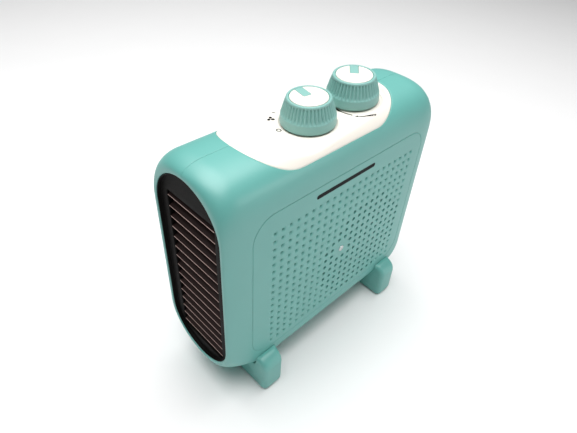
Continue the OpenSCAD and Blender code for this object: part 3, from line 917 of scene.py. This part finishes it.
def smooth_min(a, b, k):
    h = np.clip(0.5 + 0.5 * (b - a) / k, 0, 1)
    return b * (1 - h) + a * h - k * h * (1 - h)


def panel_height(x, y, rim):
    """Height of the control panel above (x, y); rim is the distance in from its outline."""
    dome = dome_z(x, HALF_W - INSET, CROWN - INSET)
    low = deck_at(RAMP_Y)
    ramp = low + (CROWN - low) * (RAMP_Y - y) / (RAMP_Y - PANEL_FRONT)
    ramp = -smooth_min(-ramp, -deck_at(y), 2.5)
    wall = deck_at(y) + 6.5 * np.clip(1 - rim / 5.0, 0, 1) ** 1.5 * np.clip((y - 52) / 16, 0, 1)
    return smooth_min(dome, np.maximum(ramp, wall), 1.6)


def control_panel():
    """The pale top panel with a well for each knob."""
    skin = Skin()
    edge = 0.7
    loop = both_sides(panel_half(-edge, 1.5))
    centres = [(0.0, SWITCH_Y, 24.3), (0.0, THERMOSTAT_Y, 26.6)]
    steps = [(0.75, 0.0), (0.45, 0.06), (0.2, 0.22), (0.05, 0.5), (0.0, WELL_DEPTH)]
    apron = 1.05
    n_seg = 96
    flat = math.cos(math.pi / n_seg)
    wells = [(x, y, (r + apron) * flat) for x, y, r in centres]
    grid = (-38.4, 38.5, 1.2), (-87, 84, 1.5)
    pts = lattice(*grid, loop, 0.8)
    pts = pts[nearest(pts, centres) > apron + 0.7]
    p, tris = triangulate([loop] + [circle(x, y, r + apron, n_seg) for x, y, r in centres], pts,
                          lambda c: inside(loop, c) & (nearest(c, wells) > 0))
    full = both_sides(panel_half(0, 0.8))
    rim = distance(full, p)
    face = skin.add(np.c_[p, panel_height(*p.T, rim)])
    skin.faces(tris)
    n = len(loop)
    out = outward(loop)
    z = skin.at(face[:n])[:, 2]
    zo = panel_height(loop[:, 0] + 0.3 * out[:, 0], loop[:, 1] + 0.3 * out[:, 1], np.full(n, edge - 0.3))
    skirt = skin.rings(face[:n], np.c_[out, (zo - z) / 0.3], (0, 0, -1.0), fillet(edge) + [(edge, 4.0)])
    k = n
    a = angles(n_seg)
    floors = []
    for c in centres:
        loops = []
        for r, d in [(c[2] + grow, d) for grow, d in steps] + [(c[2] - 1.0, WELL_DEPTH), (12.0, WELL_DEPTH)]:
            x, y = c[0] + r * np.cos(a), c[1] + r * np.sin(a)
            top = panel_height(x, y, np.full(n_seg, 9.0))
            zz = top - d if r > c[2] - 0.5 else np.minimum(top, deck_at(y)) - WELL_DEPTH
            loops.append(np.c_[x, y, zz])
        # The spindle's hole
        x, y = c[0] + SPINDLE_HOLE_R * np.cos(a), c[1] + SPINDLE_HOLE_R * np.sin(a)
        loops += [np.c_[x, y, deck_at(y) - depth] for depth in (WELL_DEPTH, PANEL_T)]
        floors.append(skin.extend(face[k:k + n_seg], loops))
        k += n_seg
    # Underside: the same plan lowered, closed against the skirt and the spindle holes
    v = np.array(skin.v)
    under = v[skirt][:, :2]
    holes = [(x, y, SPINDLE_HOLE_R * flat) for x, y, _ in centres]
    pu = lattice(*grid, under, 2, every=3)
    pu = pu[nearest(pu, holes) > 6 - SPINDLE_HOLE_R * flat]
    pp, tt = triangulate([under] + [v[f][:, :2] for f in floors], pu,
                         lambda c: inside(under, c) & (nearest(c, holes) > 0))
    index = skirt + [i for f in floors for i in f]
    q = pp[len(index):]
    z = panel_height(*q.T, distance(full, q)) - PANEL_T
    z = np.where(nearest(q, centres) < 2, np.minimum(z, deck_at(q[:, 1]) - PANEL_T), z)
    index += skin.add(np.c_[q, z])
    skin.faces(tt, index)
    piece("top_panel", skin, cream, node="control_panel", sharp=60)


control_panel()


# ---- knobs

FLUTES, FLUTE_DEPTH, FLUTE_MIN_R, FLUTE_Z = 42, 1.5, 18.5, (7.8, 20.6)
KNOB_H, CAP_R, POINTER_W, POINTER_IN = 22.3, 15.8, 7.3, 1.5


def slab(outline, z_low, z_top, r):
    """An upright block on an outline, with its top edge rounded by r."""
    skin = Skin()
    inner = inward(outline, r)
    p, tris = filled(inner)
    face = skin.add(np.c_[p, np.full(len(p), z_top)])
    skin.faces(tris)
    out = np.c_[(outline - inner) / r, np.zeros(len(inner))]
    foot = skin.rings(face, out, (0, 0, -1.0), fillet(r, 3) + [(r, z_top - z_low)])
    skin.faces(tris, foot)
    return skin


def knob(node, cap_node, body, y0, angle):
    """A fluted knob on the deck at y0, turned so that its pointer looks along angle, and its cap."""
    on_deck = Matrix.Translation((0, y0, deck_at(y0))) @ Matrix.Rotation(DECK_TILT, 4, "X")
    place = on_deck @ Matrix.Translation((0, 0, KNOB_LIFT)) @ Matrix.Rotation(math.radians(angle), 4, "Z")
    profile = [(0, 0.6), (20, 0.6), (22.4, 0.3), (23.1, 0.0), (23.5, 0.15), (23.67, 0.5), (23.7, 1.4), (23.55, 3.4),
               (23.35, 5.4), (23.2, 7.0), (23.1, 7.8), (22.85, 8.4), (22.5, 9.4), (22.1, 10.6), (21.7, 12.2),
               (21.25, 13.7), (20.8, 15.2), (20.3, 16.7), (19.85, 18.0), (19.45, 19.0), (19.15, 19.7), (18.95, 20.3),
               (18.8, 20.9), (18.6, 21.5), (18.2, 22.0), (17.7, 22.27), (17.2, 22.3), (16.75, 22.15), (16.5, 21.8),
               (16.42, 21.3), (16.4, 20.9), (10, 20.9), (0, 20.9)]

    def flutes(a, r, z):
        start, end = (z - FLUTE_Z[0]) / 2.0, (FLUTE_Z[1] - z) / 1.4
        if start <= 0 or end <= 0 or r < FLUTE_MIN_R:
            return 0 * a
        t = min(1, start)
        rise = t**2 * (3 - 2 * t) * math.sin(min(1, end) * math.pi / 2)
        return -FLUTE_DEPTH * rise * (1 - (0.5 + 0.5 * np.cos(FLUTES * a)) ** 0.7)

    turned = tilted(lathe(profile, FLUTES * 10, flutes), place)

    # Pointer bar, standing in the cap's slot
    hw = POINTER_W / 2
    reach = math.sqrt((CAP_R + 0.1) ** 2 - hw**2)
    nose = 1.2
    bar = np.vstack([arc(POINTER_IN + nose, -hw + nose, nose, 180, 270, 4),
                     [(reach, -hw)], arc(0, 0, CAP_R + 0.1, -12.0, 12.0, 6), [(reach, hw)],
                     arc(POINTER_IN + nose, hw - nose, nose, 90, 180, 4)])
    pointer = tilted(slab(bar, KNOB_H - 1.5, KNOB_H - 0.05, 0.35), place)
    piece(node + "_grip", [turned, pointer], teal_knob, body, node=node, sharp=70)
    # Cap: a disc with a slot for the pointer
    g = hw + 0.25
    edge_a = math.degrees(math.asin(g / CAP_R))
    slot_in, slot_out = POINTER_IN + 1.0, math.sqrt(CAP_R**2 - g * g) - 0.3
    disc = np.vstack([arc(0, 0, CAP_R, edge_a, 360 - edge_a, 72),
                      spaced([[slot_out, -g], [slot_in, -g]], nose, False),
                      arc(slot_in, -g + nose, nose, 250, 190, 3), arc(slot_in, g - nose, nose, 170, 110, 3),
                      spaced([[slot_in, g], [slot_out, g]], nose, False)])
    cap = tilted(slab(disc, KNOB_H - 1.35, KNOB_H - 0.1, 0.3), place)
    piece(cap_node + "_disc", cap, cream, body, node=cap_node, sharp=70)


knob("switch_knob", "switch_knob_cap", "switch_control", SWITCH_Y, 169)
knob("thermostat_knob", "thermostat_knob_cap", "thermostat_control", THERMOSTAT_Y, 131)


# ---- feet

# Radii of the foot's lower and upper corners, the height of the upper one's centre, and the lowest height at which
# the edge beside the body may still move
TOE_R, HORN_R, HORN_Z, HORN_TOP = 5, 13, 31, 38
FOOT_EDGE_R = 5.0


def foot(name, node):
    """A cross foot with rounded edges that fits under the body."""
    low, high = box_mm(node)
    y0, y1 = low[1], high[1]
    hw = high[0]
    gap = 0.15
    r = BELLY_R
    w = HALF_W + gap
    right = np.vstack([[(0, 2.0)], spaced([[12, 2.0], [20, 0.0]], 2, False),
                       spaced(arc(hw - TOE_R, TOE_R, TOE_R, -90, 0, 10), 1.2, False),
                       [(hw, 12), (hw, 20), (hw, 26)], arc(hw - HORN_R, HORN_Z, HORN_R, 0, 80, 12)])
    top_z = right[-1, 1]
    right[-1, 0] = max(right[-1, 0], w)
    body_side = np.vstack([spaced([[w, top_z - 2], [w, BELLY + r]], 3, False),
                           arc(HALF_W - r, BELLY + r, r + gap, 0, -90, 8)[1:],
                           [(20, BELLY - gap), (0, BELLY - gap)]])
    half = np.vstack([right, [(w, top_z - 0.6)], body_side])
    loop = both_sides(half)
    # Only the outer edge is rounded; the edge against the body stays where it is
    free = np.r_[np.ones(len(right)), np.zeros(len(half) - len(right))]
    free = np.r_[free, free[-2:0:-1]]
    d = inward(loop, 1.0) - loop
    d *= free[:, None]
    for i in range(len(loop)):
        if free[i] and abs(abs(loop[i, 0]) - w) < 1.5 and loop[i, 1] > HORN_TOP:
            d[i] = (0, -1)
    skin = Skin()
    rings = [(y0 + FOOT_EDGE_R * (1 - math.cos(t)), FOOT_EDGE_R * (1 - math.sin(t)))
             for t in np.linspace(0, math.pi / 2, 7)]
    rings += [(y1 - (y - y0), inset) for y, inset in rings[::-1]]
    sections = [loop + d * inset for _, inset in rings]
    points = [np.c_[q[:, 0], np.full(len(q), y), q[:, 1]] for q, (y, _) in zip(sections, rings)]
    first = skin.add(points[0])
    for ring, q in ((first, sections[0]), (skin.extend(first, points[1:]), sections[-1])):
        skin.faces(filled(q)[1], ring)
    piece(name, skin, teal, node=node, sharp=60)


foot("cross_foot_front", "foot_front")
foot("cross_foot_rear", "foot_rear")


# ---- printed marks


MARK_TOP, MARK_FOOT = 0.05, -0.1


def ribbon(path, half, place, closed=False):
    """A thin slab of ink along a path; place(points, lift) puts plan points on the surface, lifted by lift mm."""
    path = np.asarray(path, float)
    out = outward(path) if closed else normals_of(path)
    half = np.broadcast_to(half, len(path))[:, None]
    skin = Skin()
    corners = ((-1, MARK_TOP), (1, MARK_TOP), (1, MARK_FOOT), (-1, MARK_FOOT))
    loops = [skin.add(place(path + sign * half * out, lift)) for sign, lift in corners]
    for a, b in zip(loops, loops[1:] + loops[:1]):
        skin.strip(a, b, closed)
    if not closed:
        skin.f += [tuple(k[0] for k in loops), tuple(k[-1] for k in loops[::-1])]
    return skin


def on_panel(q, lift):
    return np.c_[q, panel_height(*q.T, np.full(len(q), 9.0)) + lift]


def on_grille(q, lift):
    return np.c_[side_x(*q.T) + lift, q]


def polar(y0, r, degrees):
    """Plan points round (0, y0)."""
    a = np.radians(degrees)
    return np.c_[r * np.cos(a), y0 + r * np.sin(a)]


def oval_width(n, half):
    """Half widths of an oval at n points along it."""
    return np.maximum(half * np.sqrt(np.clip(1 - np.linspace(-1, 1, n) ** 2, 0, 1)), 0.03)


marks = []
# Switch: off ring, fan, one bar and two bars
marks.append(ribbon(circle(*polar(SWITCH_Y, 28.2, -102.0)[0], 1.85, 28), 0.45, on_panel, closed=True))
fan = polar(SWITCH_Y, 31.0, -139.0)[0]
for blade in (20, 140, 260):
    t = np.radians(blade + np.linspace(-14, 26, 11))
    r = np.linspace(0.4, 3.4, 11)
    marks.append(ribbon(fan + np.c_[r * np.cos(t), r * np.sin(t)], oval_width(11, 1.4), on_panel))
for angle, shift in ((-158, 0), (170, -0.9), (170, 0.9)):
    out, sideways = polar(0, 1, angle)[0], polar(0, 1, angle + 90)[0]
    path = [out * r + sideways * shift + [0, SWITCH_Y] for r in np.linspace(29.6, 33.2, 4)]
    marks.append(ribbon(path, 0.45, on_panel))
# Thermostat: a swelling arc, an arrowhead and the thin tail that runs on round the knob
a = np.linspace(-9, -38, 24)
width = np.interp(a, [-38, -24, -13, -9], [0.5, 0.75, 0.95, 0.45])
marks.append(ribbon(polar(THERMOSTAT_Y, 31.7, a), width, on_panel))
a = np.linspace(-37, -45, 8)
width = np.interp(a, [-45, -40.5, -40, -37], [0.03, 1.15, 0.3, 0.3])
marks.append(ribbon(polar(THERMOSTAT_Y, 31.0, a), width, on_panel))
a = np.linspace(-48.5, -88, 30)
tail = 31.8 - 8 * (np.clip(-35 - a, 0, None) / 52) ** 0.85
marks.append(ribbon(polar(THERMOSTAT_Y, tail, a), np.linspace(0.65, 0.5, len(a)), on_panel))
piece("panel_marks", marks, ink)
# A plain bar on the upper edge of the right-hand grille
t = np.r_[np.linspace(-37, -34.5, 10), np.linspace(-33, 34, 40), np.linspace(35.5, 38, 10)]
bar_half = 2.1 * np.sqrt(np.clip(1 - np.clip(np.abs(t - 0.5) - 35.4, 0, None) ** 2 / 2.1**2, 0.002, 1))
piece("side_bar", ribbon(np.c_[t, np.full(len(t), 203.5)], bar_half, on_grille), ink)


# ---- screws and coils


def screw(place, head_r, head_h, shank_r, shank_l):
    """A domed cross-head screw along +Z with its head's underside at z = 0."""
    n = 64
    a = angles(n)
    loops = []
    for r in np.r_[np.arange(0.12, head_r * 0.72, 0.12), head_r * np.array([0.8, 0.9, 0.96, 1.0])]:
        x, y = r * np.cos(a), r * np.sin(a)
        cross = np.clip((0.14 * head_r - np.minimum(np.abs(x), np.abs(y))) / 0.15 + 0.5, 0, 1)
        depth = 0.45 * head_h * cross * np.clip((0.62 * head_r - r) / 0.2, 0, 1)
        loops.append(np.c_[x, y, head_h * (0.3 + 0.7 * math.sqrt(max(0, 1 - (r / head_r) ** 2))) - depth])
    for r, z in ((head_r, 0.0), (shank_r, 0.0), (shank_r, -shank_l)):
        loops.append(np.c_[r * np.cos(a), r * np.sin(a), np.full(n, z)])
    skin = Skin()
    skin.rod(loops)
    return tilted(skin, place)


def facing(point, axis, sign):
    """The place of a screw at a point whose head looks along an axis, or against it."""
    turn = {"X": Matrix.Rotation(math.radians(90), 4, "Y"), "Z": Matrix.Identity(4)}[axis]
    flip = Matrix.Rotation(math.radians(180), 4, "X") if sign < 0 else Matrix.Identity(4)
    return Matrix.Translation(point) @ turn @ flip


grille_places = [facing((side * (HALF_W + 0.02), *POST), "X", side) for side in (1, -1)]
piece("grille_screw_pair", [screw(place, 3.0, 1.1, 1.5, 8.0) for place in grille_places],
      steel, node="grille_screws")
pocket_places = [facing((-16.0, y, z), "X", -1) for y, z in POCKETS]
piece("shell_screw_set", [screw(place, 2.8, 2.0, 1.5, 36.0) for place in pocket_places],
      zinc, node="shell_screws")
foot_low = box_mm("foot_screws")[0]
foot_places = [facing((x, y, foot_low[2] + 2.0), "Z", -1) for x in (-22.0, 22.0) for y in (-88.0, 93.5)]
piece("foot_screw_set", [screw(place, 2.8, 2.0, 1.5, 24.0) for place in foot_places],
      zinc, node="foot_screws")


def tube(path, r, sides=6):
    """A round wire along a path whose ends are capped."""
    d = unit(np.gradient(path, axis=0))
    side = unit(np.cross(d, [1.0, 0, 0]))
    other = np.cross(d, side)
    a = angles(sides)
    skin = Skin()
    skin.rod([c + r * (np.cos(a)[:, None] * u + np.sin(a)[:, None] * v) for c, u, v in zip(path, side, other)])
    return skin


coil_low, coil_high = box_mm("heating_coils")
COIL_R, COIL_INSET, WIRE_R, TURNS = 2.95, 3.4, 0.42, 28
mid_y = (coil_low[1] + coil_high[1]) / 2
coils = []
for z in np.linspace(coil_low[2] + COIL_INSET, coil_high[2] - COIL_INSET, 10):
    x = np.linspace(coil_low[0] + 0.5, coil_high[0] - 0.5, TURNS * 14 + 1)
    turn = (x - x[0]) * 2 * math.pi * TURNS / (x[-1] - x[0])
    coils.append(tube(np.c_[x, mid_y + COIL_R * np.cos(turn), z + COIL_R * np.sin(turn)], WIRE_R))
piece("wound_coils", coils, wire, node="heating_coils", sharp=80)


# ---- stage, light and camera

floor_mesh = bpy.data.meshes.new("floor")
floor_mesh.from_pydata([(-6, -6, 0), (6, -6, 0), (6, 6, 0), (-6, 6, 0)], [], [(0, 1, 2, 3)])
floor_mesh.materials.append(stage_floor)
floor = linked("floor", floor_mesh)

# A soft room that is darker in front of the outlet than behind the heater
world = bpy.data.worlds.new("studio")
scene.world = world
world.use_nodes = True
tree = world.node_tree
place = shader_node(tree, "SeparateXYZ", Vector=shader_node(tree, "TexCoord").outputs["Generated"]).outputs["Y"]
level = shader_node(tree, "MapRange", Value=place, From_Min=-1.0, From_Max=1.0, To_Min=0.07, To_Max=0.27)
feed(tree, tree.nodes["Background"], Color=(1, 1, 1, 1), Strength=level.outputs["Result"])


def area_light(name, place, target, size, power):
    light = bpy.data.lights.new(name, "AREA")
    light.shape = "RECTANGLE"
    light.size, light.size_y = size
    light.energy = power
    obj = linked(name, light)
    obj.location = place
    obj.rotation_euler = (Vector(target) - Vector(place)).to_track_quat("-Z", "Y").to_euler()


area_light("overhead", (-0.1, -0.05, 1.7), (0, 0, 0.1), (1.8, 1.8), 46)
area_light("window", (1.35, 0.8, 0.45), (0.04, -0.1, 0.2), (0.14, 0.09), 2.6)

camera_data = bpy.data.cameras.new("camera")
camera_data.sensor_width = 36
camera_data.lens = 29.54
camera = linked("camera", camera_data)
azimuth, elevation, roll = (math.radians(a) for a in (43.3, 40.6, 3.89))
ahead = Vector((-math.sin(azimuth), math.cos(azimuth), 0)) * math.cos(elevation)
forward = ahead - Vector((0, 0, math.sin(elevation)))
flat = Vector((math.cos(azimuth), math.sin(azimuth), 0))
right = flat * math.cos(roll) + flat.cross(forward) * math.sin(roll)
turn = Matrix((right, right.cross(forward), -forward)).transposed().to_4x4()
camera.matrix_world = Matrix.Translation((0.2313, -0.2673, 0.4363)) @ turn
scene.camera = camera
scene.view_settings.view_transform = "Standard"
